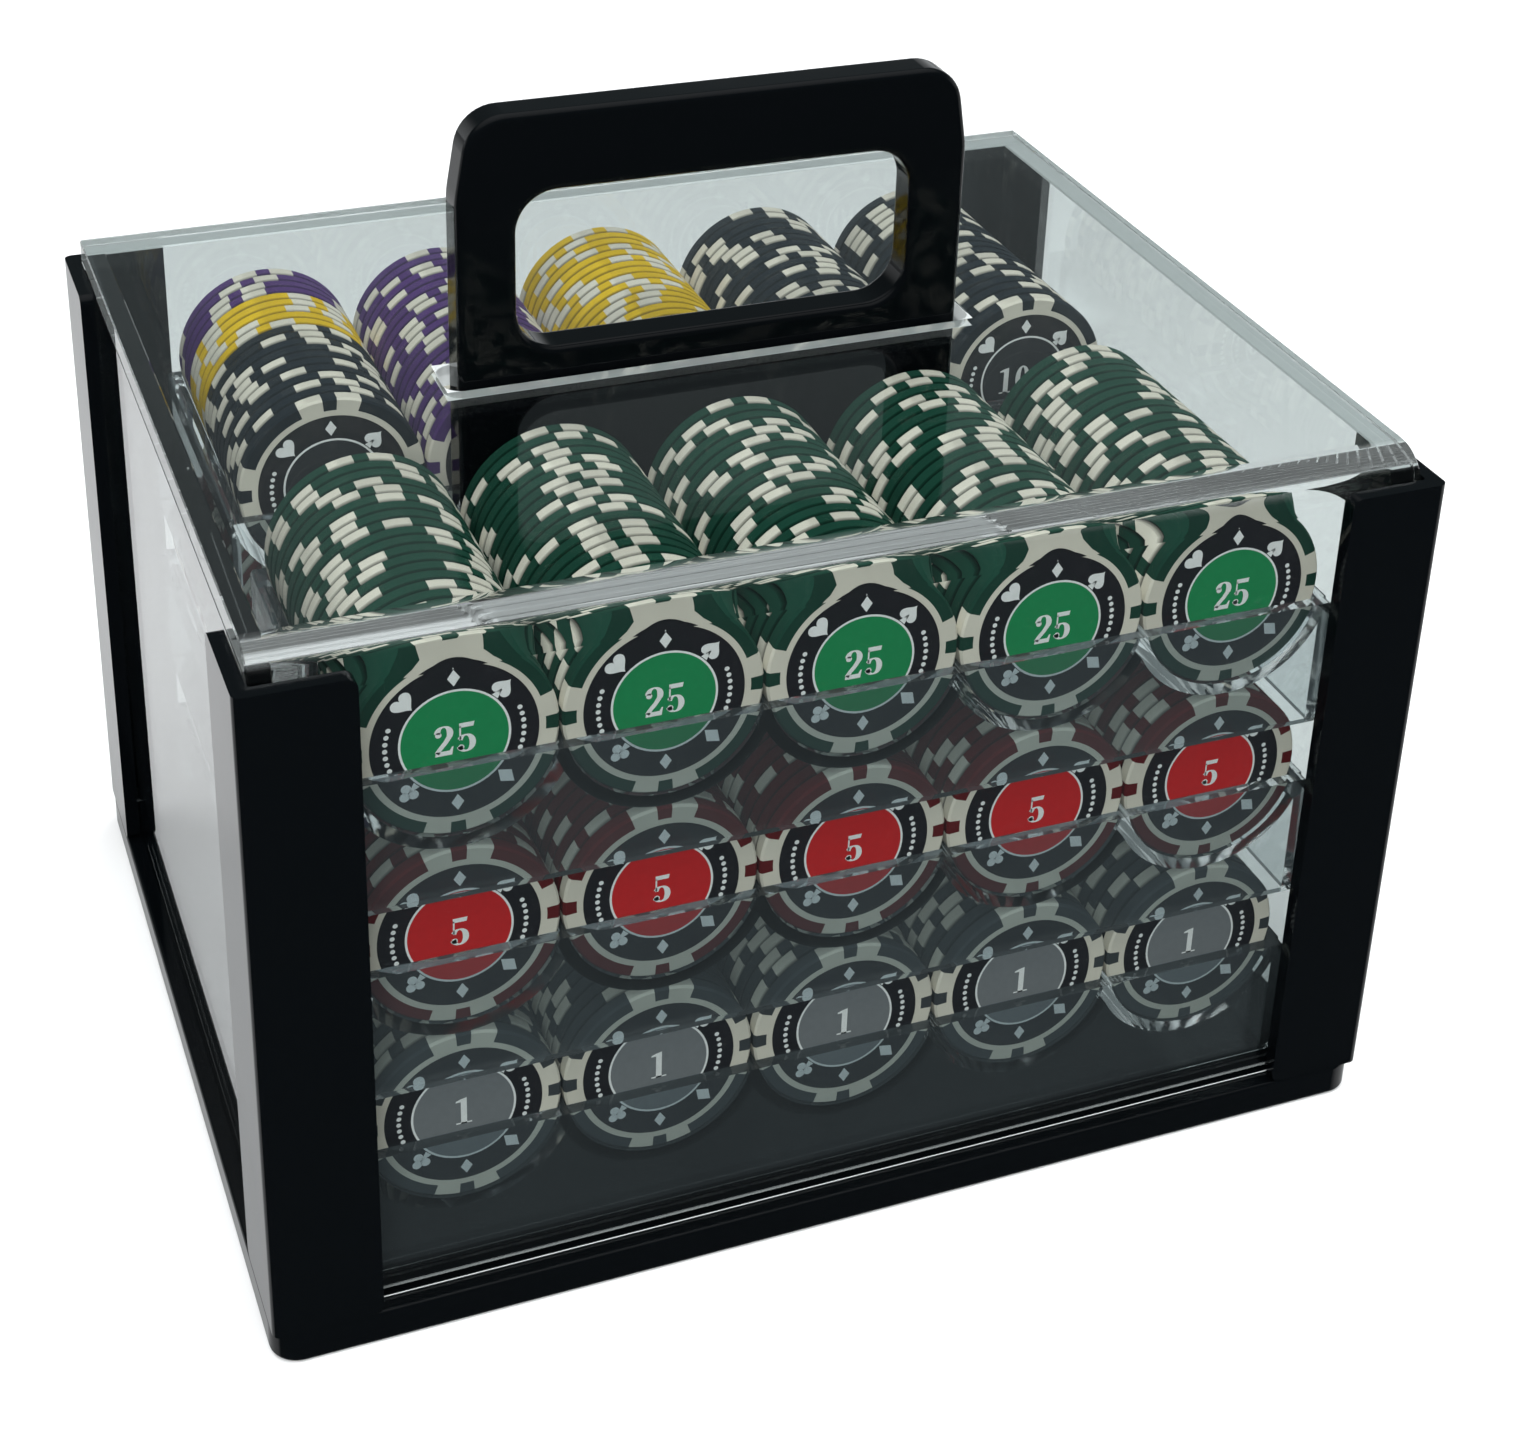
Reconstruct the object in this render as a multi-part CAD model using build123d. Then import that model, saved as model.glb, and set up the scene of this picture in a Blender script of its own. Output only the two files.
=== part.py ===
"""Poker chip case: base with corner posts and a fixed handle, lift-off clear cover, six loaded racks.

Frame: origin at the centre of the base plate's underside, +Z up, X along the width, and the front
facing -Y. Lengths are millimetres.
"""

from build123d import *
import os

# Chips and the racks' channels
CHIP_D = 40.0
CHIP_T = 3.35
CHIP_PITCH = 3.45
CHIPS_PER_CHANNEL = 20
CHIP_EDGE = 0.45
LABEL_R = 16.0
LABEL_DEPTH = 0.12
CHANNELS = 5
CHANNEL_PITCH = 40.5
CHANNEL_R = 20.2
CHANNEL_SHELL = 2.6

# Racks
RACK_W = 207.0
RACK_PLATE = 2.5
RACK_END = 2.0
RACK_PLAY = 0.25  # between the outermost chips and the rack's front and rear plates
RACK_TOP = -4.5  # rack edges, measured from the height of the chips' centres
RACK_BOTTOM = -33.3
LAYER_PITCH = 43.5
EDGE = 0.4  # the small bevel on moulded and cut edges

# Base, deck and posts
BASE_W = 245.0
BASE_D = 195.0
BASE_T = 7.5
BASE_CORNER_R = 6.0
DECK_T = 4.0
POST_T = 3.2
POST_FACE_W = 22.0
POST_SIDE_W = 24.5
POST_H = 147.5
POST_CORNER_R = 1.75
POST_TOP_R = 2.2

# Cover
COVER_W = 238.0
COVER_D = 188.0
SHEET = 5.0
SHEET_EDGE = 0.3
COVER_H = 152.5
BEND_R = 9.0  # outside of the bend from the front to the top
BEND_INNER_R = 1.0
COVER_PLAY = 0.5  # between the cover's inside and the deck, and between it and the front racks
GLUE = 0.05  # the glue lines between the cover's sheets
SLOT_W = 119.0
SLOT_D = 13.0
SLOT_R = 4.0

# Handle
HANDLE_W = 113.0
HANDLE_T = 9.0
HANDLE_TOP = 218.5
HANDLE_SHOULDER = 200.5  # where the outline starts to draw in
HANDLE_TOP_W = 107.0
HANDLE_TOP_R = 9.0
HANDLE_EDGE = 1.5
WINDOW_W = 87.6
WINDOW_LOW = 165.8
WINDOW_HIGH = 201.1
WINDOW_R = 9.0
HANDLE_PLAY = 0.7  # between the handle plate and the rear racks
SCREW_X = (-38.0, 0.0, 38.0)
SCREW_D = 4.0
SCREW_HEAD_D = 8.0
SCREW_HEAD_H = 2.2
SCREW_L = 20.0
SCREW_KEY_R = 1.45
SCREW_KEY_DEPTH = 1.5
SCREW_SINK = 0.3  # how far the heads sit inside the base's underside
SCREW_GAP = 0.05  # radial gap round a screw

# Worked out from the sizes above
DECK_Z = BASE_T + DECK_T
INNER_W = COVER_W - 2 * SHEET
INNER_D = COVER_D - 2 * SHEET
RACK_D = CHIPS_PER_CHANNEL * CHIP_PITCH + 2 * (RACK_PLAY + RACK_PLATE)
RACK_H = RACK_TOP - RACK_BOTTOM
FRONT_RACK_Y = -INNER_D / 2 + COVER_PLAY  # front faces of the front racks
REAR_RACK_Y = HANDLE_T / 2 + HANDLE_PLAY
LAYERS = ("bottom", "middle", "top")
LAYER_Z = {name: DECK_Z - RACK_BOTTOM + i * LAYER_PITCH for i, name in enumerate(LAYERS)}
CHANNEL_X = [(i - (CHANNELS - 1) / 2) * CHANNEL_PITCH for i in range(CHANNELS)]
LID_Z = BASE_T + COVER_H


def box(x, y, z):
    """A box from its (low, high) pairs."""
    size = (x[1] - x[0], y[1] - y[0], z[1] - z[0])
    centre = (sum(x) / 2, sum(y) / 2, sum(z) / 2)
    return Pos(*centre) * Box(*size)


def upright_cylinder(radius, height):
    """A cylinder standing on z = 0."""
    return Cylinder(radius, height, align=(Align.CENTER, Align.CENTER, Align.MIN))


def along_y(profile, depth):
    """A profile drawn in X and Z, made depth long from y = 0 towards the rear."""
    return extrude(Plane.XZ * profile, amount=-depth)


def bevelled(part, size=EDGE):
    """The part with every edge bevelled."""
    return chamfer(part.edges(), size)


# Base, deck and posts


def base_plate():
    plate = extrude(RectangleRounded(BASE_W, BASE_D, BASE_CORNER_R), BASE_T)
    rims = plate.edges().group_by(Axis.Z)[0] + plate.edges().group_by(Axis.Z)[-1]
    plate = fillet(rims, 0.8)
    for x in SCREW_X:
        plate -= Pos(x, 0, SCREW_SINK) * screw_shape(BASE_T, SCREW_GAP)
        plate -= Pos(x, 0, 0) * upright_cylinder(SCREW_HEAD_D / 2 + SCREW_GAP, SCREW_SINK)
    return plate


def deck_plate():
    outline = Rectangle(INNER_W - 2 * COVER_PLAY, INNER_D - 2 * COVER_PLAY)
    opening = Rectangle(HANDLE_W + 2 * GLUE, HANDLE_T + 2 * GLUE)
    plate = Pos(0, 0, BASE_T) * extrude(outline - opening, DECK_T)
    return chamfer(plate.faces().sort_by(Axis.Z)[-1].outer_wire().edges(), EDGE)


def corner_post():
    """The front left post: an L section whose free top and bottom corners are rounded."""
    x0 = -BASE_W / 2
    y0 = -BASE_D / 2
    z = (BASE_T, BASE_T + POST_H)
    face = box((x0, x0 + POST_FACE_W), (y0, y0 + POST_T), z)
    side = box((x0, x0 + POST_T), (y0, y0 + POST_SIDE_W), z)
    face = fillet(face.edges().filter_by(Axis.Y).group_by(Axis.X)[-1], POST_TOP_R)
    side = fillet(side.edges().filter_by(Axis.X).group_by(Axis.Y)[-1], POST_TOP_R)
    post = face + side
    upright = post.edges().filter_by(Axis.Z)
    outer = upright.sort_by(lambda e: e.center().X + e.center().Y)[0]
    post = fillet(outer, POST_CORNER_R)
    inner = post.edges().filter_by(Axis.Z).filter_by(lambda e: abs(e.center().X - x0 - POST_T) < 0.01)
    inner = inner.filter_by(lambda e: abs(e.center().Y - y0 - POST_T) < 0.01)
    return fillet(inner, 0.8)


def posts():
    """The four posts, mirrored from the front left one."""
    front_left = corner_post()
    rear_left = mirror(front_left, about=Plane.XZ)
    return {
        "post_front_left": front_left,
        "post_front_right": mirror(front_left, about=Plane.YZ),
        "post_rear_left": rear_left,
        "post_rear_right": mirror(rear_left, about=Plane.YZ),
    }


# Handle and its screws


def screw_shape(length, gap=0.0):
    """A countersunk screw pointing up from z = 0, or with a gap the hole that it sits in."""
    head_r = SCREW_HEAD_D / 2 + gap
    shank_r = SCREW_D / 2 + gap
    head = Cone(head_r, shank_r, SCREW_HEAD_H, align=(Align.CENTER, Align.CENTER, Align.MIN))
    return head + upright_cylinder(shank_r, length)


def handle_screws():
    """The screws, each with a hexagonal socket in its head."""
    socket = extrude(RegularPolygon(SCREW_KEY_R, 6), SCREW_KEY_DEPTH)
    screw = screw_shape(SCREW_L) - socket
    return Compound(children=[Pos(x, 0, SCREW_SINK) * screw for x in SCREW_X])


def handle_outline():
    """Straight sides up to the shoulder, then drawn in to a narrower top with round corners."""
    half = HANDLE_W / 2
    half_top = HANDLE_TOP_W / 2
    points = [
        (-half, BASE_T),
        (half, BASE_T),
        (half, HANDLE_SHOULDER),
        (half_top, HANDLE_TOP),
        (-half_top, HANDLE_TOP),
        (-half, HANDLE_SHOULDER),
    ]
    outline = make_face(Polyline(*points, close=True))
    corners = outline.vertices().sort_by(Axis.Y)
    outline = fillet(corners[-2:], HANDLE_TOP_R)
    shoulders = [v for v in outline.vertices() if abs(v.Y - HANDLE_SHOULDER) < 0.01]
    return fillet(shoulders, 20.0)


def handle_plate():
    window_h = WINDOW_HIGH - WINDOW_LOW
    window = Pos(0, WINDOW_LOW + window_h / 2) * RectangleRounded(WINDOW_W, window_h, WINDOW_R)
    plate = Pos(0, -HANDLE_T / 2, 0) * along_y(handle_outline() - window, HANDLE_T)
    rims = [e for e in plate.edges() if abs(abs(e.center().Y) - HANDLE_T / 2) < 0.01]
    rims = [e for e in rims if e.center().Z > BASE_T + 0.01]
    plate = fillet(rims, HANDLE_EDGE)
    for x in SCREW_X:
        plate -= Pos(x, 0, 0) * upright_cylinder(SCREW_D / 2 + SCREW_GAP, SCREW_L + 1.0)
    return plate


# Cover


def front_top(outline):
    """The corner of an outline in Y and Z that is at its front and top."""
    return outline.vertices().group_by(Axis.Y)[-1].sort_by(Axis.X)[:1]


def cover_shell():
    """The cover's front and top, one sheet bent over at the front, with the slot for the handle."""
    outside = Rectangle(COVER_D, COVER_H, align=(Align.CENTER, Align.MIN))
    outside = fillet(front_top(outside), BEND_R)
    inside = Pos(SHEET, 0) * Rectangle(COVER_D, COVER_H - SHEET, align=(Align.CENTER, Align.MIN))
    inside = fillet(front_top(inside), BEND_INNER_R)
    profile = Plane.YZ * (outside - inside)
    shell = Pos(-COVER_W / 2, 0, BASE_T) * extrude(profile, amount=COVER_W)
    ends = [e for e in shell.edges() if abs(e.center().X) > COVER_W / 2 - 0.01]
    shell = chamfer(ends + shell.edges().filter_by(Axis.X).group_by(Axis.Z)[0], SHEET_EDGE)
    slot = Pos(0, 0, LID_Z - 2 * SHEET) * extrude(RectangleRounded(SLOT_W, SLOT_D, SLOT_R), 3 * SHEET)
    shell -= slot
    top = [e for e in shell.edges() if e.center().Z > LID_Z - 0.01]
    mouth = [e for e in top if abs(e.center().X) < SLOT_W / 2 + 1 and abs(e.center().Y) < SLOT_D]
    return chamfer(mouth, SHEET_EDGE)


def cover_walls():
    """The flat sheets under the top: the rear one, and the left and right ones in front of it."""
    z = (BASE_T, LID_Z - SHEET - GLUE)
    rear = box((-COVER_W / 2, COVER_W / 2), (INNER_D / 2, COVER_D / 2), z)
    outline = Pos(0, BASE_T) * Rectangle(INNER_D - 2 * GLUE, z[1] - z[0], align=(Align.CENTER, Align.MIN))
    outline = chamfer(front_top(outline), BEND_INNER_R)
    left = Pos(-COVER_W / 2, 0, 0) * extrude(Plane.YZ * outline, amount=SHEET)
    left = bevelled(left, SHEET_EDGE)
    return {
        "cover_rear": bevelled(rear, SHEET_EDGE),
        "cover_left": left,
        "cover_right": mirror(left, about=Plane.YZ),
    }


# Racks and chips


def rack():
    """A rack from y = 0 towards the rear, with z = 0 at the height of the chips' centres."""
    frame = Pos(0, (RACK_TOP + RACK_BOTTOM) / 2) * Rectangle(RACK_W, RACK_H)
    shells = Sketch() + [Pos(x, 0) * Circle(CHANNEL_R + CHANNEL_SHELL) for x in CHANNEL_X]
    channels = Sketch() + [Pos(x, 0) * Circle(CHANNEL_R) for x in CHANNEL_X]
    hollow = Pos(0, (RACK_TOP + RACK_BOTTOM) / 2) * Rectangle(RACK_W - 2 * RACK_END, RACK_H)
    section = (frame - hollow) + (frame & shells) - channels
    plate = fillet(frame.vertices(), 1.0)
    plate = along_y(plate, RACK_PLATE)
    body = Pos(0, RACK_PLATE, 0) * along_y(section, RACK_D - 2 * RACK_PLATE)
    return plate + body + Pos(0, RACK_D - RACK_PLATE, 0) * plate


def chip():
    """One chip from y = 0 towards the rear, with a round label recess in each face."""
    r = CHIP_D / 2
    disc = upright_cylinder(r, CHIP_T)
    disc = chamfer(disc.edges().filter_by(GeomType.CIRCLE), CHIP_EDGE)
    recess = upright_cylinder(LABEL_R, LABEL_DEPTH)
    disc = disc - recess - Pos(0, 0, CHIP_T - LABEL_DEPTH) * recess
    return Rot(-90, 0, 0) * disc


def chip_group(rack_y, layer, places):
    """Chips of one rack, at (channel, place) pairs where place 0 is the one at the front."""
    first_y = rack_y + RACK_PLATE + RACK_PLAY + (CHIP_PITCH - CHIP_T) / 2
    one = chip()
    spots = [(CHANNEL_X[channel], first_y + place * CHIP_PITCH) for channel, place in places]
    return Compound(children=[Pos(x, y, LAYER_Z[layer]) * one for x, y in spots])


def full_rack():
    return [(channel, place) for channel in range(CHANNELS) for place in range(CHIPS_PER_CHANNEL)]


def channel_run(channel, first=0, last=CHIPS_PER_CHANNEL):
    return [(channel, place) for place in range(first, last)]


def chip_nodes():
    """Chips by rack and colour. The rear top rack holds three colours, mixed in its left channel."""
    black = channel_run(0, 0, 11) + channel_run(3) + channel_run(4)
    yellow = channel_run(0, 11, 16) + channel_run(2)
    purple = channel_run(0, 16) + channel_run(1)
    return {
        "chips_front_top_green": chip_group(FRONT_RACK_Y, "top", full_rack()),
        "chips_front_middle_red": chip_group(FRONT_RACK_Y, "middle", full_rack()),
        "chips_front_bottom_grey": chip_group(FRONT_RACK_Y, "bottom", full_rack()),
        "chips_rear_top_black": chip_group(REAR_RACK_Y, "top", black),
        "chips_rear_top_yellow": chip_group(REAR_RACK_Y, "top", yellow),
        "chips_rear_top_purple": chip_group(REAR_RACK_Y, "top", purple),
        "chips_rear_middle_red": chip_group(REAR_RACK_Y, "middle", full_rack()),
        "chips_rear_bottom_grey": chip_group(REAR_RACK_Y, "bottom", full_rack()),
    }


def rack_nodes():
    one = rack()
    rows = {"front": FRONT_RACK_Y, "rear": REAR_RACK_Y}
    return {
        f"rack_{row}_{layer}": Pos(0, y, z) * one
        for row, y in rows.items()
        for layer, z in LAYER_Z.items()
    }


def main():
    nodes = {
        "base_plate": base_plate(),
        "deck_plate": deck_plate(),
        "handle_plate": handle_plate(),
        "handle_screws": handle_screws(),
        "cover_shell": cover_shell(),
    }
    nodes.update(posts())
    nodes.update(cover_walls())
    nodes.update(rack_nodes())
    nodes.update(chip_nodes())
    os.makedirs("parts", exist_ok=True)
    for name, shape in nodes.items():
        export_step(shape, f"parts/{name}.step")


main()
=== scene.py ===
"""Looks for the poker chip case: materials, printed chip labels, studio floor, lights and camera."""

import bmesh
import bpy
import math
from mathutils import Matrix, Vector


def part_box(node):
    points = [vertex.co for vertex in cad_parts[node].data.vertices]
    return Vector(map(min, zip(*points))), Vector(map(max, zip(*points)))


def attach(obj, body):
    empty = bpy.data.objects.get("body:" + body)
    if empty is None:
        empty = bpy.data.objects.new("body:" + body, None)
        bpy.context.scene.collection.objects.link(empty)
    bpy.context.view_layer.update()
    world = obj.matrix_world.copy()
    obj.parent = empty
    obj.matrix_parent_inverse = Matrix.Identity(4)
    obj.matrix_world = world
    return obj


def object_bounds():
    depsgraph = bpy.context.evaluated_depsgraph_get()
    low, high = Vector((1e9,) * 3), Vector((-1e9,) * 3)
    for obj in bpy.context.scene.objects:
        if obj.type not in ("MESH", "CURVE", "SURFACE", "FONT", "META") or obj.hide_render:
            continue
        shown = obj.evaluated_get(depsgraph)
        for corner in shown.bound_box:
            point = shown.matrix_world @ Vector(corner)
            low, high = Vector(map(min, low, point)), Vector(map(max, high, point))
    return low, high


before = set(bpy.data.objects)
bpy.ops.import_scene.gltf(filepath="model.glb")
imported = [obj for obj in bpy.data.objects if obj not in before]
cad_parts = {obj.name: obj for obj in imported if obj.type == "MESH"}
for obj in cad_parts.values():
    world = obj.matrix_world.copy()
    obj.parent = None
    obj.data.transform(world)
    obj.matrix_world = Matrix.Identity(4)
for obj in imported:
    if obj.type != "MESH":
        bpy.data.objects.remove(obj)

CAD_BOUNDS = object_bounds()
MM = 0.001

# Chips and racks, read from the frame
FRONT_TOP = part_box("chips_front_top_green")
CHIP_R = (FRONT_TOP[1].z - FRONT_TOP[0].z) / 2
CHANNELS = 5
CHIPS_PER_CHANNEL = 20
CHANNEL_PITCH = (FRONT_TOP[1].x - FRONT_TOP[0].x - 2 * CHIP_R) / (CHANNELS - 1)
CHIP_GAP = 0.1 * MM
CHIP_PITCH = (FRONT_TOP[1].y - FRONT_TOP[0].y + CHIP_GAP) / CHIPS_PER_CHANNEL
LABEL_R = 0.8 * CHIP_R
LABEL_DEPTH = 0.12 * MM

# The chips' clay pattern, in degrees: cream, a small block of colour and cream again, four times round
PATTERN_REPEATS = 4
SMALL_BLOCK = 9.0
CREAM_BLOCK = 15.5
RING_R = 0.865 * CHIP_R

CREAM = (0.76, 0.71, 0.61)
CLAY = {
    "green": (0.009, 0.046, 0.030),
    "red": (0.120, 0.010, 0.012),
    "grey": (0.050, 0.057, 0.062),
    "purple": (0.070, 0.026, 0.140),
    "yellow": (0.740, 0.480, 0.012),
    "black": (0.005, 0.010, 0.015),
}
SEAM_SHADE = 0.20  # half the width of the shaded seam between two chips, in chips
PRINT = {
    "green": (0.010, 0.260, 0.085),
    "red": (0.600, 0.016, 0.018),
    "grey": (0.200, 0.210, 0.220),
    "purple": (0.110, 0.020, 0.360),
    "yellow": (0.620, 0.400, 0.015),
    "black": (0.020, 0.022, 0.026),
}
VALUE = {"green": "25", "red": "5", "grey": "1", "purple": "500", "yellow": "1000", "black": "100"}

# The cover's sheets and the racks
HAZE_COLOUR = (0.72, 0.80, 0.84)
MATT_COLOUR = (0.86, 0.90, 0.90)
SLOT = (119.0 * MM, 13.0 * MM)
SLOT_MARGIN = 0.1 * MM
FOOT = 0.6 * MM  # height of the matt line at the foot of the front sheet
FOOT_DEPTH = 2 * MM  # how far in from its outside the foot's matt share falls
JOINT = 0.4 * MM  # width of the light line along a glued wall's top and along the top's rear edge

# How matt each sawn or glued edge is, as a share of the surface
SLOT_MATT = 0.55
REAR_MATT = 0.30
GLUE_MATT = 0.40
FOOT_MATT = (0.85, 0.25)  # at the outside of the front sheet, and further in


# Node trees


class Tree:
    """A material's or the world's nodes, with short calls for the ones that are used often."""

    def __init__(self, nodes_of):
        nodes_of.use_nodes = True
        self.tree = nodes_of.node_tree
        self.tree.nodes.clear()

    def add(self, kind, inputs=(), **settings):
        """A node, with inputs as (name or index, value or socket) pairs."""
        node = self.tree.nodes.new(kind)
        for name, value in settings.items():
            setattr(node, name, value)
        for key, value in inputs:
            if isinstance(value, bpy.types.NodeSocket):
                self.tree.links.new(value, node.inputs[key])
            else:
                node.inputs[key].default_value = value
        return node

    def maths(self, operation, a, b=0.0):
        return self.add("ShaderNodeMath", [(0, a), (1, b)], operation=operation).outputs[0]

    def mix(self, factor, a, b, blend="MIX"):
        """Colour a where factor is 0, colour b where it is 1."""
        node = self.add("ShaderNodeMix", data_type="RGBA", blend_type=blend)
        for key, value in ((0, factor), (6, a), (7, b)):
            if isinstance(value, bpy.types.NodeSocket):
                self.tree.links.new(value, node.inputs[key])
            elif key == 0:
                node.inputs[key].default_value = value
            else:
                node.inputs[key].default_value = (*value, 1.0)
        return node.outputs[2]

    def coordinates(self):
        return self.add("ShaderNodeTexCoord").outputs["Object"]

    def noise(self, scale, detail=3.0, roughness=0.5, where=None):
        """Noise of the given number of features per metre, from 0 to 1."""
        inputs = [("Scale", scale), ("Detail", detail), ("Roughness", roughness)]
        inputs.append(("Vector", where or self.coordinates()))
        return self.add("ShaderNodeTexNoise", inputs).outputs[0]

    def ranged(self, value, low, high, to_low, to_high):
        inputs = [(0, value), (1, low), (2, high), (3, to_low), (4, to_high)]
        return self.add("ShaderNodeMapRange", inputs).outputs[0]

    def bump(self, height, strength, distance):
        inputs = [("Height", height), ("Strength", strength), ("Distance", distance)]
        return self.add("ShaderNodeBump", inputs).outputs[0]

    def principled(self, *inputs):
        return self.add("ShaderNodeBsdfPrincipled", inputs).outputs[0]

    def finish(self, surface):
        self.add("ShaderNodeOutputMaterial", [("Surface", surface)])


def material(name):
    made = bpy.data.materials.new(name)
    return made, Tree(made)


def rgba(colour):
    return (*colour, 1.0)


# Materials


def black_acrylic():
    """Polished black sheet with faint smears and fine dust."""
    made, t = material("black_acrylic")
    smear = t.noise(38.0, 4.0, 0.6)
    dust = t.noise(2600.0, 2.0, 0.7)
    smeared = t.ranged(smear, 0.35, 0.75, 0.05, 0.13)
    rough = t.maths("ADD", smeared, t.ranged(dust, 0.68, 0.78, 0.0, 0.12))
    dusty = t.ranged(dust, 0.70, 0.80, 0.0, 0.10)
    colour = t.mix(dusty, (0.0012, 0.0017, 0.0022), (0.035, 0.04, 0.045))
    normal = t.bump(smear, 0.02, 0.4 * MM)
    t.finish(t.principled(("Base Color", colour), ("Roughness", rough), ("IOR", 1.28), ("Normal", normal)))
    return made


def cut_edges(t):
    """How matt the bent sheet's sawn edges are: the slot's walls, the rear edge and the foot."""
    low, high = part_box("cover_shell")
    x, y, z = t.add("ShaderNodeSeparateXYZ", [(0, t.coordinates())]).outputs
    outside = t.ranged(y, low.y, low.y + FOOT_DEPTH, *FOOT_MATT)
    foot = t.maths("MULTIPLY", t.maths("LESS_THAN", z, low.z + FOOT), outside)
    beside = t.maths("LESS_THAN", t.maths("ABSOLUTE", x), SLOT[0] / 2 + SLOT_MARGIN)
    within = t.maths("LESS_THAN", t.maths("ABSOLUTE", y), SLOT[1] / 2 + SLOT_MARGIN)
    slot = t.maths("MULTIPLY", t.maths("MULTIPLY", beside, within), SLOT_MATT)
    rear = t.maths("MULTIPLY", t.maths("GREATER_THAN", y, high.y - JOINT), REAR_MATT)
    return t.maths("MAXIMUM", t.maths("MAXIMUM", foot, slot), rear)


def glued_edges(t):
    """How matt the rear and right walls' top edges are, where the glue whitens them."""
    z = t.add("ShaderNodeSeparateXYZ", [(0, t.coordinates())]).outputs[2]
    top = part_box("cover_rear")[1].z
    return t.maths("MULTIPLY", t.maths("GREATER_THAN", z, top - JOINT), GLUE_MATT)


def clear_plastic(name, tint, shadow_tint, rough, ripple, ripple_size, haze, matt_edges=None):
    """Clear plastic that bends light, and lets lamps through so that what is inside is lit."""
    made, t = material(name)
    smear = t.noise(24.0, 4.0, 0.55)
    roughness = t.ranged(smear, 0.4, 0.8, rough[0], rough[1])
    normal = t.bump(t.noise(ripple_size, 2.0, 0.4), ripple, 0.5 * MM)
    glass = t.principled(
        ("Base Color", rgba(tint)),
        ("Roughness", roughness),
        ("IOR", 1.49),
        ("Transmission Weight", 1.0),
        ("Normal", normal),
    )
    if haze:
        milk = t.add("ShaderNodeBsdfDiffuse", [("Color", rgba(HAZE_COLOUR))]).outputs[0]
        amount = t.ranged(smear, 0.3, 0.7, 0.8 * haze, 1.2 * haze)
        glass = t.add("ShaderNodeMixShader", [(0, amount), (1, glass), (2, milk)]).outputs[0]
    if matt_edges:
        matt = t.add("ShaderNodeBsdfDiffuse", [("Color", rgba(MATT_COLOUR))]).outputs[0]
        glass = t.add("ShaderNodeMixShader", [(0, matt_edges(t)), (1, glass), (2, matt)]).outputs[0]
    passing = t.add("ShaderNodeBsdfTransparent", [("Color", rgba(shadow_tint))]).outputs[0]
    shadow = t.add("ShaderNodeLightPath").outputs["Is Shadow Ray"]
    t.finish(t.add("ShaderNodeMixShader", [(0, shadow), (1, glass), (2, passing)]).outputs[0])
    return made


def screw_steel():
    made, t = material("screw_steel")
    grain = t.noise(4000.0, 2.0)
    colour = t.mix(grain, (0.36, 0.36, 0.37), (0.52, 0.52, 0.50))
    rough = t.ranged(grain, 0.3, 0.7, 0.25, 0.42)
    t.finish(t.principled(("Base Color", colour), ("Metallic", 1.0), ("Roughness", rough)))
    return made


def clay_pattern(t, low):
    """Where a point is on its chip: cream or not, on the inner ring or not, and on the label or not."""
    place = t.add("ShaderNodeSeparateXYZ", [(0, t.coordinates())])
    x, y, z = place.outputs
    channel = t.maths("ROUND", t.maths("DIVIDE", x, CHANNEL_PITCH))
    dx = t.maths("SUBTRACT", x, t.maths("MULTIPLY", channel, CHANNEL_PITCH))
    dz = t.maths("SUBTRACT", z, low.z + CHIP_R)
    radius = t.maths("SQRT", t.maths("ADD", t.maths("MULTIPLY", dx, dx), t.maths("MULTIPLY", dz, dz)))
    start = low.y - CHIP_GAP / 2
    index = t.maths("FLOOR", t.maths("DIVIDE", t.maths("SUBTRACT", y, start), CHIP_PITCH))
    which = t.add("ShaderNodeCombineXYZ", [(0, channel), (1, index), (2, low.z + low.y)]).outputs[0]
    chance = t.add("ShaderNodeTexWhiteNoise", [("Vector", which)], noise_dimensions="3D").outputs[0]
    last = CHIPS_PER_CHANNEL - 1.5
    inner = t.maths("MULTIPLY", t.maths("GREATER_THAN", index, 0.5), t.maths("LESS_THAN", index, last))
    turn = t.maths("MULTIPLY", chance, inner)
    angle = t.maths("DIVIDE", t.maths("ARCTAN2", dx, dz), 2 * math.pi / PATTERN_REPEATS)
    part = t.maths("FRACT", t.maths("ADD", t.maths("ADD", angle, 0.5), turn))
    span = 360.0 / PATTERN_REPEATS
    off = t.maths("MULTIPLY", t.maths("ABSOLUTE", t.maths("SUBTRACT", part, 0.5)), span)
    past_block = t.maths("GREATER_THAN", off, SMALL_BLOCK / 2)
    before_colour = t.maths("LESS_THAN", off, SMALL_BLOCK / 2 + CREAM_BLOCK)
    cream = t.maths("MULTIPLY", past_block, before_colour)
    ring = t.maths("LESS_THAN", radius, RING_R)
    label = t.maths("LESS_THAN", radius, LABEL_R + 0.02 * MM)
    return t.maths("MAXIMUM", cream, ring), label, chance


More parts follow.
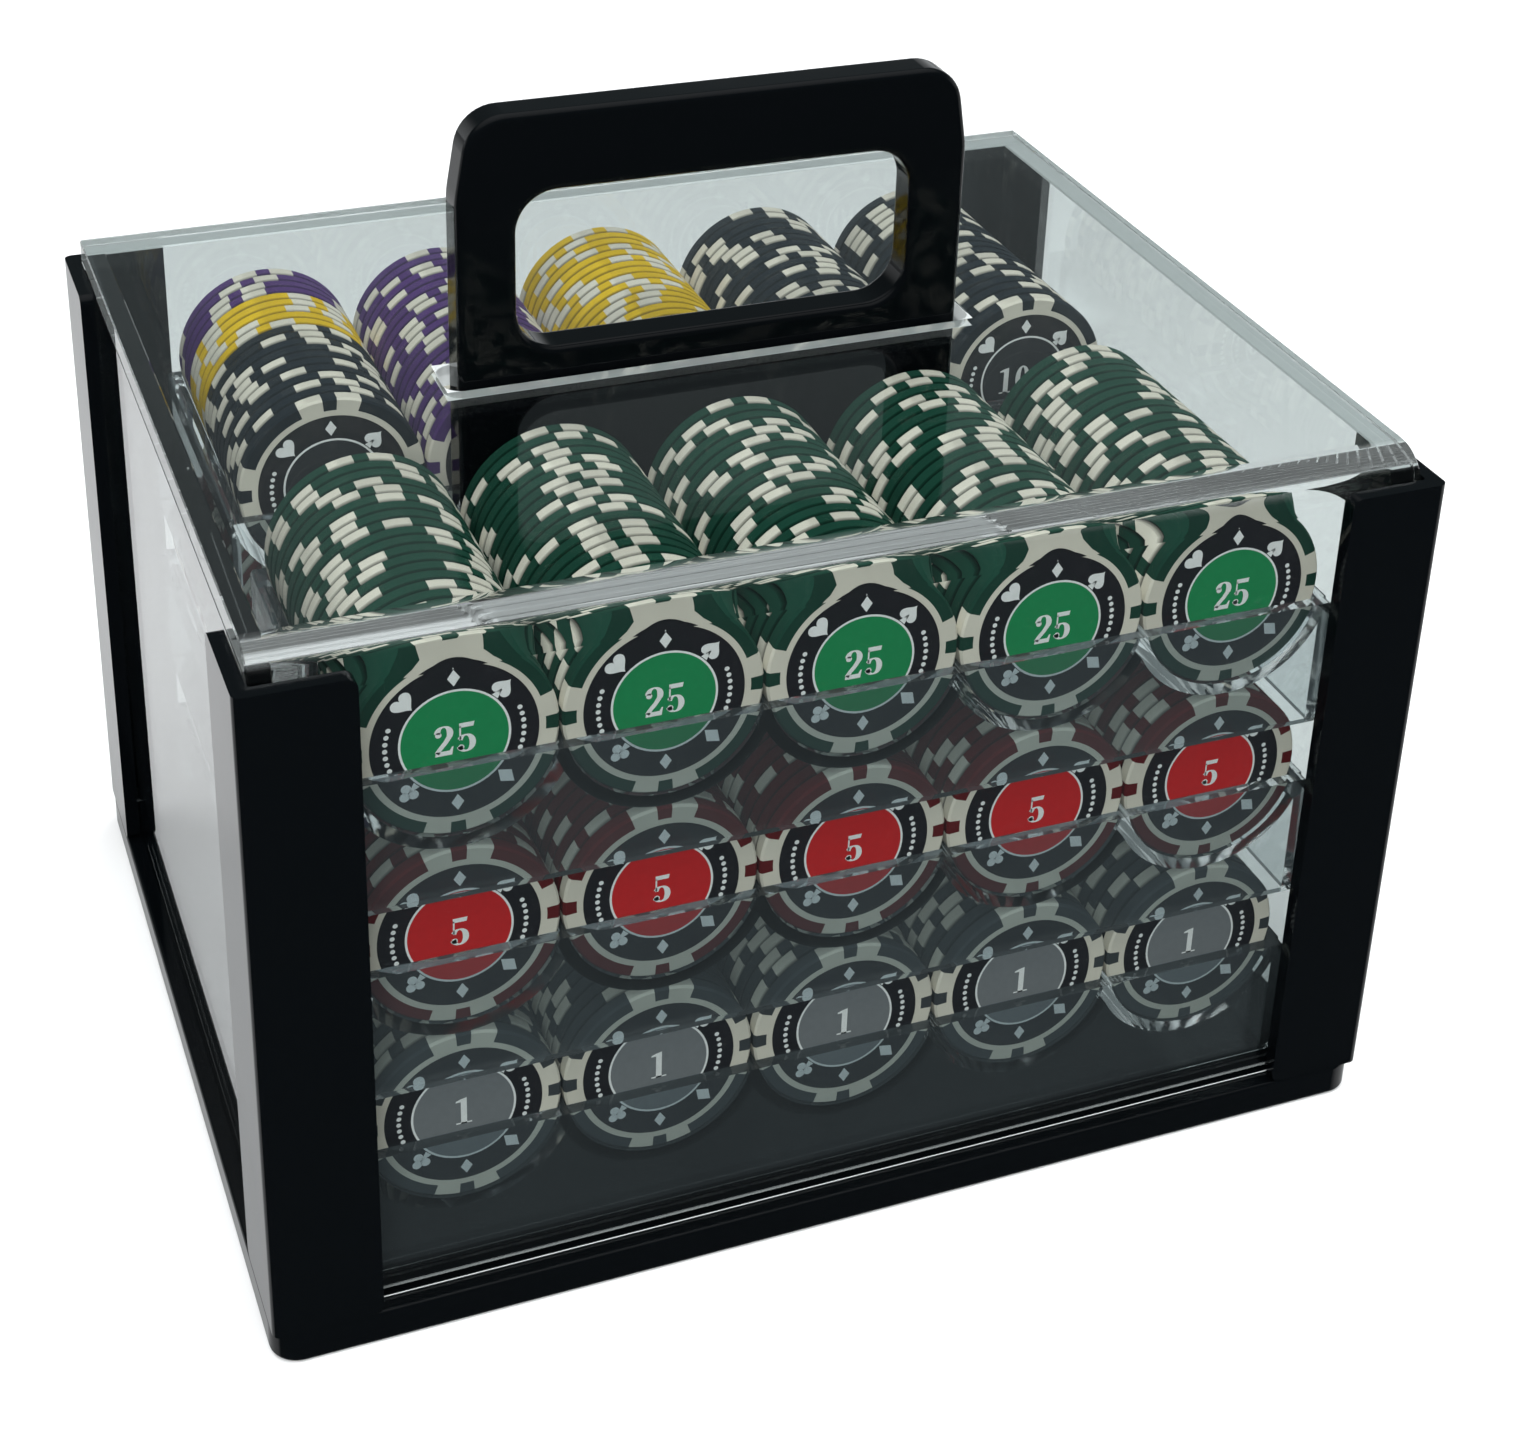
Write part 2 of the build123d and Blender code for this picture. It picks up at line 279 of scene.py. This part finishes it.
def clay_seam_shade(t, low):
    """Painted shade between the chips of a stack: 1 in the gap between two chips, falling to 0 beside it."""
    y = t.add("ShaderNodeSeparateXYZ", [(0, t.coordinates())]).outputs[1]
    along = t.maths("DIVIDE", t.maths("SUBTRACT", y, low.y - CHIP_GAP / 2), CHIP_PITCH)
    seam = t.maths("ROUND", along)
    before_end = t.maths("LESS_THAN", seam, CHIPS_PER_CHANNEL - 0.5)
    inner = t.maths("MULTIPLY", t.maths("GREATER_THAN", seam, 0.5), before_end)
    off = t.maths("ABSOLUTE", t.maths("SUBTRACT", along, seam))
    return t.maths("MULTIPLY", inner, t.ranged(off, 0.05, SEAM_SHADE, 1.0, 0.0))


def clay(colour, node):
    """Clay composite: a colour with cream inserts, matt and finely grained, with a dark label field and
    painted shade in the gaps between chips.
    """
    made, t = material("clay_" + node)
    cream, label, chance = clay_pattern(t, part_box(node)[0])
    grain = t.noise(1500.0, 4.0, 0.65)
    mottle = t.noise(160.0, 3.0, 0.5)
    base = CLAY[colour]
    body = t.mix(mottle, tuple(0.82 * c for c in base), tuple(1.18 * c for c in base))
    insert = t.mix(mottle, tuple(0.90 * c for c in CREAM), tuple(1.05 * c for c in CREAM))
    # Painted shade: the colour is darkened to 0.22 of itself in the gaps between chips, where the grooves lie
    # in shade, and each chip is also made a little darker or lighter at random.
    seam_shade = t.ranged(clay_seam_shade(t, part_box(node)[0]), 0.0, 1.0, 1.0, 0.22)
    shade = t.maths("MULTIPLY", seam_shade, t.ranged(chance, 0.0, 1.0, 0.90, 1.06))
    seam_shade_and_tone = t.add("ShaderNodeCombineXYZ", [(0, shade), (1, shade), (2, shade)]).outputs[0]
    mixed = t.mix(1.0, t.mix(cream, body, insert), seam_shade_and_tone, "MULTIPLY")
    mixed = t.mix(label, mixed, (0.012, 0.011, 0.014))
    rough = t.mix(label, (0.70, 0.70, 0.70), (0.22, 0.22, 0.22))
    normal = t.bump(grain, 0.25, 0.06 * MM)
    sheen = ("Specular IOR Level", 0.16)
    t.finish(t.principled(("Base Color", mixed), ("Roughness", rough), sheen, ("Normal", normal)))
    return made


def print_ink(name, colour, rough):
    """Printed label film, very slightly mottled."""
    made, t = material(name)
    mottle = t.noise(700.0, 3.0)
    shade = t.mix(mottle, tuple(0.88 * c for c in colour), tuple(min(1.0, 1.10 * c) for c in colour))
    t.finish(
        t.principled(
            ("Base Color", shade),
            ("Roughness", t.ranged(mottle, 0.3, 0.7, rough, rough + 0.08)),
        )
    )
    return made


def assign(node, made):
    """One material on every slot of a CAD node."""
    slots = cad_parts[node].data.materials
    slots.clear()
    slots.append(made)


def dress_cad():
    black = black_acrylic()
    sheet_look = ((0.945, 0.988, 0.980), (0.90, 0.93, 0.93), (0.0, 0.03), 0.015, 9.0, 0.0)
    sheet = clear_plastic("clear_acrylic", *sheet_look)
    glued = clear_plastic("glued_acrylic", *sheet_look, matt_edges=glued_edges)
    bent = clear_plastic("bent_acrylic", *sheet_look, matt_edges=cut_edges)
    rack_look = ((0.93, 0.965, 0.97), (0.72, 0.76, 0.78), (0.01, 0.06), 0.08, 60.0, 0.018)
    moulded = clear_plastic("rack_clear", *rack_look)
    steel = screw_steel()
    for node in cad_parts:
        if node == "handle_screws":
            assign(node, steel)
        elif node.startswith("cover_"):
            assign(node, {"cover_shell": bent, "cover_left": sheet}.get(node, glued))
        elif node.startswith("rack_"):
            assign(node, moulded)
        elif node.startswith("chips_"):
            assign(node, clay(node.rsplit("_", 1)[1], node))
        else:
            assign(node, black)


# Printed labels, thin inlays in the recesses of the chips at both ends of each channel

FIELD, WHITE, CENTRE = range(3)
FIELD_R = LABEL_R - 0.1 * MM
DISC_R = 0.51 * CHIP_R
OUTLINE = 0.45 * MM
PIP_R = 13.1 * MM
PIP_SIZE = 4.2 * MM
DOT_R = 0.5 * MM
DOTS_EACH_SIDE = 7
NUMBER_H = 6.4 * MM
LAYER = 0.03 * MM


def circle(radius, steps=64, centre=(0.0, 0.0)):
    x, y = centre
    turns = [i * (2 * math.pi / steps) for i in range(steps)]
    return [(x + radius * math.cos(a), y + radius * math.sin(a)) for a in turns]


def heart(size):
    """A heart of the given height, point down, about its centre."""
    outline = []
    steps = 28
    for i in range(steps):
        a = 2 * math.pi * i / steps
        x = 16 * math.sin(a) ** 3
        y = 13 * math.cos(a) - 5 * math.cos(2 * a) - 2 * math.cos(3 * a) - math.cos(4 * a)
        outline.append((x * size / 29, (y + 2.5) * size / 29))
    return outline


def stem(size):
    """The foot of a spade or club."""
    corners = ((-0.18, -0.55), (0.18, -0.55), (0.03, -0.1), (-0.03, -0.1))
    return [(x * size, y * size) for x, y in corners]


def spade(size):
    return [[(x, -y + 0.05 * size) for x, y in reversed(heart(size * 0.9))], stem(size)]


def club(size):
    centres = ((0, 0.24 * size), (-0.24 * size, -0.1 * size), (0.24 * size, -0.1 * size))
    return [circle(0.23 * size, 20, c) for c in centres] + [stem(size)]


def diamond(size):
    return [[(0.36 * size, 0), (0, 0.52 * size), (-0.36 * size, 0), (0, -0.52 * size)]]


def extruded(bm, outline, slot, low, high):
    """A closed prism of an outline in X and Z, between two depths in Y, the outer one being low."""
    front = [bm.verts.new((x, low, z)) for x, z in outline]
    back = [bm.verts.new((x, high, z)) for x, z in outline]
    faces = [bm.faces.new(front), bm.faces.new(list(reversed(back)))]
    count = len(outline)
    for i in range(count):
        j = (i + 1) % count
        faces.append(bm.faces.new((front[j], front[i], back[i], back[j])))
    for face in faces:
        face.material_index = slot


def ring(bm, outer, inner, slot, low, high):
    """A flat closed ring, as four strips of quads."""
    steps = 64
    loops = []
    for radius, y in ((outer, low), (outer, high), (inner, high), (inner, low)):
        loops.append([bm.verts.new((x, y, z)) for x, z in circle(radius, steps)])
    for a, b in zip(loops, loops[1:] + loops[:1]):
        for i in range(steps):
            j = (i + 1) % steps
            bm.faces.new((a[i], b[i], b[j], a[j])).material_index = slot


def ellipse_arc(centre, radii, start, end, steps):
    """Points from one angle to another, in degrees."""
    points = []
    for i in range(steps + 1):
        a = math.radians(start + (end - start) * i / steps)
        points.append((centre[0] + radii[0] * math.cos(a), centre[1] + radii[1] * math.sin(a)))
    return points


def stroke(path, thin, thick):
    """The outline of a pen stroke along a path, thick where it runs up or down."""
    left, right = [], []
    for i, (x, y) in enumerate(path):
        before = path[max(i - 1, 0)]
        after = path[min(i + 1, len(path) - 1)]
        along = Vector((after[0] - before[0], after[1] - before[1])).normalized()
        half = (thin + (thick - thin) * abs(along.y) ** 2) / 2
        left.append((x - along.y * half, y + along.x * half))
        right.append((x + along.y * half, y - along.x * half))
    return right + left[::-1]


# Digits, one unit high and about half a unit wide, as lists of outlines
THIN, THICK, BALL = 0.05, 0.19, 0.095


def digit_one():
    stem_shape = [(-THICK / 2, 0), (THICK / 2, 0), (THICK / 2, 1), (-THICK / 2, 0.96)]
    foot = [(-0.25, 0), (0.25, 0), (0.25, THIN), (-0.25, THIN)]
    flag = [(-0.25, 0.85), (-THICK / 2, 0.85), (-THICK / 2, 0.96), (-0.25, 0.90)]
    return [stem_shape, foot, flag]


def digit_two():
    bowl = ellipse_arc((0, 0.74), (0.19, 0.235), 175, -35, 22)
    bowl += [(0.04, 0.42), (-0.10, 0.26), (-0.21, 0.10)]
    foot = [(-0.26, 0), (0.24, 0), (0.28, 0.27), (0.24, 0.27), (0.17, 0.15), (-0.24, 0.15)]
    return [stroke(bowl, THIN, THICK), circle(BALL, 16, (-0.155, 0.72)), foot]


def digit_five():
    bowl = ellipse_arc((-0.01, 0.315), (0.20, 0.27), 150, -160, 28)
    bar = [(-0.20, 0.85), (0.22, 0.85), (0.25, 1.0), (-0.20, 1.0)]
    side = [(-0.20, 0.42), (-0.20 + THIN, 0.45), (-0.20 + THIN, 0.9), (-0.20, 0.9)]
    return [stroke(bowl, THIN, THICK), circle(BALL, 16, (-0.155, 0.185)), bar, side]


def digit_zero():
    """Its two halves, so that each outline is simple."""
    halves = []
    for start in (90, -90):
        outer = ellipse_arc((0, 0.5), (0.28, 0.5), start, start + 180, 20)
        inner = ellipse_arc((0, 0.5), (0.28 - THICK, 0.5 - THIN), start + 180, start, 20)
        halves.append(outer + inner)
    return halves


DIGITS = {"0": digit_zero, "1": digit_one, "2": digit_two, "5": digit_five}
DIGIT_STEP = 0.66
WIDEST = 16.0 * MM


def number_shapes(text):
    """Outlines of a value in millimetres, centred, and narrowed if it is too wide for the disc."""
    length = DIGIT_STEP * (len(text) - 1) + 0.56
    across = min(NUMBER_H, WIDEST / length)
    shapes = []
    upright = max(across, 0.8 * NUMBER_H)
    for i, digit in enumerate(text):
        middle = (i - (len(text) - 1) / 2) * DIGIT_STEP
        for outline in DIGITS[digit]():
            shapes.append([((x + middle) * across, (y - 0.5) * upright) for x, y in outline])
    return shapes


def label_mesh(colour):
    """One label, facing -Y, with y = 0 at the chip's face."""
    bm = bmesh.new()
    floor = LABEL_DEPTH - 0.005 * MM
    top = [floor - LAYER, floor - 1.6 * LAYER, floor - 2.2 * LAYER]
    extruded(bm, circle(FIELD_R, 96), FIELD, top[0], floor)
    extruded(bm, circle(DISC_R, 96), CENTRE, top[1], top[0] + 0.001 * MM)
    ring(bm, DISC_R + OUTLINE, DISC_R, WHITE, top[1], top[0] + 0.001 * MM)
    suits = [spade(PIP_SIZE), [heart(PIP_SIZE)], club(PIP_SIZE), diamond(PIP_SIZE)]
    for i, shapes in enumerate(suits):
        a = math.radians(45 + 90 * i)
        spin = Matrix.Rotation(a - math.pi / 2, 2)
        for shape in shapes:
            placed = [spin @ Vector((x, y + PIP_R)) for x, y in shape]
            extruded(bm, [tuple(p) for p in placed], WHITE, top[1], top[0] + 0.001 * MM)
    for side in (0, math.pi):
        for i in range(DOTS_EACH_SIDE):
            a = side + math.radians(6.5) * (i - (DOTS_EACH_SIDE - 1) / 2)
            centre = (PIP_R * math.cos(a), PIP_R * math.sin(a))
            extruded(bm, circle(DOT_R, 12, centre), WHITE, top[1], top[0] + 0.001 * MM)
    for up in (-1, 1):
        small = [(x, z + up * PIP_R) for x, z in diamond(PIP_SIZE * 0.8)[0]]
        extruded(bm, small, WHITE, top[1], top[0] + 0.001 * MM)
    for outline in number_shapes(VALUE[colour]):
        extruded(bm, outline, WHITE, top[2], top[1] + 0.001 * MM)
    bmesh.ops.recalc_face_normals(bm, faces=bm.faces[:])
    made = bpy.data.meshes.new("label_" + colour)
    bm.to_mesh(made)
    bm.free()
    return made


# Which colour is at the front and at the rear of each channel, left to right
ENDS = {
    "rack_front_top": (["green"] * 5, ["green"] * 5),
    "rack_front_middle": (["red"] * 5, ["red"] * 5),
    "rack_front_bottom": (["grey"] * 5, ["grey"] * 5),
    "rack_rear_top": (
        ["black", "purple", "yellow", "black", "black"],
        ["purple", "purple", "yellow", "black", "black"],
    ),
    "rack_rear_middle": (["red"] * 5, ["red"] * 5),
    "rack_rear_bottom": (["grey"] * 5, ["grey"] * 5),
}


def chips_box(rack):
    """The box round all chips of a rack."""
    nodes = [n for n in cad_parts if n.startswith(rack.replace("rack_", "chips_"))]
    boxes = [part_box(n) for n in nodes]
    low = Vector([min(b[0][i] for b in boxes) for i in range(3)])
    high = Vector([max(b[1][i] for b in boxes) for i in range(3)])
    return low, high


def add_labels():
    field = print_ink("label_field", (0.010, 0.009, 0.012), 0.14)
    white = print_ink("label_white", (0.95, 0.95, 0.93), 0.30)
    inks = {c: print_ink("label_" + c, PRINT[c], 0.18) for c in PRINT}
    meshes = {c: label_mesh(c) for c in PRINT}
    for rack, rows in ENDS.items():
        low, high = chips_box(rack)
        centre_z = low.z + CHIP_R
        for end, colours in zip(("front", "rear"), rows):
            for colour in sorted(set(colours)):
                bm = bmesh.new()
                for channel, here in enumerate(colours):
                    if here != colour:
                        continue
                    copy = meshes[colour].copy()
                    if end == "rear":
                        copy.transform(Matrix.Rotation(math.pi, 4, "Z"))
                    x = (channel - (CHANNELS - 1) / 2) * CHANNEL_PITCH
                    y = low.y if end == "front" else high.y
                    copy.transform(Matrix.Translation((x, y, centre_z)))
                    bm.from_mesh(copy)
                    bpy.data.meshes.remove(copy)
                name = f"labels_{rack[5:]}_{end}_{colour}"
                mesh = bpy.data.meshes.new(name)
                bmesh.ops.recalc_face_normals(bm, faces=bm.faces[:])
                bm.to_mesh(mesh)
                bm.free()
                for made in (field, white, inks[colour]):
                    mesh.materials.append(made)
                piece = bpy.data.objects.new(name, mesh)
                bpy.context.scene.collection.objects.link(piece)
                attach(piece, rack)
    for mesh in meshes.values():
        bpy.data.meshes.remove(mesh)


# Floor, light and camera

FLOOR_SIZE = 14.0
SENSOR = 36.0
LENS = 64.09
CAMERA_AT = (-0.18574, -0.48716, 0.41153)
CAMERA_AZIMUTH = -21.82
CAMERA_ELEVATION = 25.82
CAMERA_ROLL = 1.78
LENS_SHIFT = -0.2442
LENS_SHIFT_X = 0.0052
SHIFT_REACH = 20 * MM  # the lens is only shifted while the camera is this near its own place
ABOVE = (0.085, 0.105, 0.110)  # what the case mirrors of the room above the backdrop
CAMERA_SIDE = (0.070, 0.082, 0.090)  # what the case mirrors of the room behind the camera
FLOOR_DIM = (0.45, 0.03)  # how much darker the floor is in glossy rays, and in clear ones on top of that


def returning(t):
    """1 for a ray that runs back towards the camera's side of the studio, which is dark, and 0 for others."""
    ahead = t.add("ShaderNodeVectorTransform", [(0, (0, 0, 1))], convert_from="CAMERA", convert_to="WORLD")
    level = t.add("ShaderNodeVectorMath", [(0, ahead.outputs[0]), (1, (1, 1, 0))], operation="MULTIPLY")
    level = t.add("ShaderNodeVectorMath", [(0, level.outputs[0])], operation="NORMALIZE")
    back = t.add("ShaderNodeNewGeometry").outputs["Incoming"]
    dot = t.add("ShaderNodeVectorMath", [(0, level.outputs[0]), (1, back)], operation="DOT_PRODUCT")
    return t.ranged(dot.outputs["Value"], 0.05, 0.30, 0.0, 1.0)


def add_floor():
    """A pale floor, which the case mirrors as dark on the camera's side."""
    made, t = material("floor")
    speckle = t.noise(3.0, 4.0)
    colour = t.mix(speckle, (0.86, 0.865, 0.87), (0.90, 0.90, 0.90))
    pale = t.principled(("Base Color", colour), ("Roughness", 0.55), ("Specular IOR Level", 0.25))
    rays = t.add("ShaderNodeLightPath").outputs
    back = returning(t)
    mirrored = t.maths("MAXIMUM", rays["Is Glossy Ray"], rays["Is Transmission Ray"])
    glossy = t.maths("MULTIPLY", rays["Is Glossy Ray"], FLOOR_DIM[0])
    onward = t.maths("ADD", glossy, t.maths("MULTIPLY", rays["Is Transmission Ray"], FLOOR_DIM[1]))
    share = t.maths("MAXIMUM", t.maths("MULTIPLY", mirrored, back), onward)
    dark = t.add("ShaderNodeEmission", [("Color", rgba(CAMERA_SIDE)), ("Strength", 1.0)]).outputs[0]
    t.finish(t.add("ShaderNodeMixShader", [(0, share), (1, pale), (2, dark)]).outputs[0])
    bm = bmesh.new()
    bmesh.ops.create_grid(bm, x_segments=8, y_segments=8, size=FLOOR_SIZE / 2)
    mesh = bpy.data.meshes.new("floor")
    bm.to_mesh(mesh)
    bm.free()
    mesh.materials.append(made)
    floor = bpy.data.objects.new("floor", mesh)
    floor.location.z = CAD_BOUNDS[0].z - 0.1 * MM
    bpy.context.scene.collection.objects.link(floor)


def add_world():
    """White studio: bright at the horizon and overhead, and dim between the two in what the case mirrors."""
    world = bpy.data.worlds.new("studio")
    bpy.context.scene.world = world
    t = Tree(world)
    up = t.add("ShaderNodeSeparateXYZ", [(0, t.add("ShaderNodeTexCoord").outputs["Generated"])]).outputs[2]
    ramp = t.add("ShaderNodeValToRGB", [(0, up)])
    stops = ramp.color_ramp.elements
    for place, level in ((0.12, 0.75), (0.35, 0.30), (0.60, 0.30)):
        stops.new(place).color = (0.94 * level, 0.98 * level, level, 1)
    stops[0].color = (0.80, 0.83, 0.85, 1)
    stops[-1].color = (0.95, 0.98, 1.00, 1)
    rays = t.add("ShaderNodeLightPath").outputs
    clear = t.maths("SUBTRACT", 1.0, rays["Is Diffuse Ray"])
    dimmed = t.ranged(rays["Is Transmission Ray"], 0.0, 1.0, 1.0, 0.5)
    above = t.maths("MULTIPLY", t.maths("MULTIPLY", clear, dimmed), t.ranged(up, 0.22, 0.36, 0.0, 1.0))
    above = t.maths("MULTIPLY", above, t.ranged(up, 0.56, 0.70, 1.0, 0.0))
    colour = t.mix(above, ramp.outputs[0], ABOVE)
    behind = t.maths("MULTIPLY", t.maths("LESS_THAN", up, 0.55), returning(t))
    colour = t.mix(t.maths("MULTIPLY", clear, behind), colour, CAMERA_SIDE)
    background = t.add("ShaderNodeBackground", [("Color", colour), ("Strength", 1.0)])
    t.add("ShaderNodeOutputWorld", [("Surface", background.outputs[0])])


def add_lamp(name, place, size, power, colour=(1.0, 1.0, 1.0)):
    """A square soft lamp that faces the middle of the case."""
    light = bpy.data.lights.new(name, "AREA")
    light.shape = "RECTANGLE"
    light.size, light.size_y = size
    light.energy = power
    light.color = colour
    lamp = bpy.data.objects.new(name, light)
    lamp.location = place
    aim = Vector((0.0, 0.0, 0.08)) - Vector(place)
    lamp.rotation_euler = aim.to_track_quat("-Z", "Y").to_euler()
    bpy.context.scene.collection.objects.link(lamp)
    lamp.visible_camera = False
    lamp.visible_glossy = False
    lamp.visible_transmission = False


def shift_lens(camera):
    """Shifts the lens down while the camera is at its own place, as in a picture with its top cropped off."""
    home = bpy.data.objects.new("camera_home", None)
    home.location = CAMERA_AT
    bpy.context.scene.collection.objects.link(home)
    curve = camera.data.driver_add("shift_y")
    while curve.modifiers:
        curve.modifiers.remove(curve.modifiers[0])
    curve.driver.type = "AVERAGE"
    moved = curve.driver.variables.new()
    moved.type = "LOC_DIFF"
    moved.targets[0].id = camera
    moved.targets[1].id = home
    for distance, shift in ((0.0, LENS_SHIFT), (SHIFT_REACH, 0.0)):
        curve.keyframe_points.insert(distance, shift).interpolation = "CONSTANT"


def add_camera():
    """The camera, from its azimuth and elevation about the case and its roll, all in degrees."""
    a, e, r = (math.radians(v) for v in (CAMERA_AZIMUTH, CAMERA_ELEVATION, CAMERA_ROLL))
    back = Vector((math.sin(a) * math.cos(e), -math.cos(a) * math.cos(e), math.sin(e)))
    right = (-back).cross(Vector((0, 0, 1))).normalized()
    up = right.cross(-back)
    right, up = right * math.cos(r) + up * math.sin(r), up * math.cos(r) - right * math.sin(r)
    camera = bpy.data.objects.new("camera", bpy.data.cameras.new("camera"))
    camera.data.lens = LENS
    camera.data.sensor_width = SENSOR
    camera.data.clip_start = 0.02
    camera.data.shift_x = LENS_SHIFT_X
    turn = Matrix((right, up, back)).transposed().to_4x4()
    camera.matrix_world = Matrix.Translation(CAMERA_AT) @ turn
    bpy.context.scene.collection.objects.link(camera)
    bpy.context.scene.camera = camera
    shift_lens(camera)


def set_paths():
    """Enough bounces for light to cross the cover and the racks."""
    scene = bpy.context.scene
    scene.view_settings.view_transform = "Standard"
    cycles = scene.cycles
    cycles.max_bounces = 64
    cycles.transmission_bounces = 40
    cycles.transparent_max_bounces = 48
    cycles.glossy_bounces = 48
    cycles.caustics_reflective = False
    cycles.caustics_refractive = False
    cycles.sample_clamp_indirect = 6.0
    cycles.use_denoising = True


dress_cad()
add_labels()
add_floor()
add_world()
add_lamp("overhead", (0.0, -0.15, 1.5), (1.3, 1.3), 30.0)
add_lamp("front", (-0.5, -1.5, 1.1), (1.0, 0.8), 22.0)
add_lamp("right_rear", (1.2, 1.1, 1.1), (0.9, 0.9), 8.0)
add_camera()
set_paths()
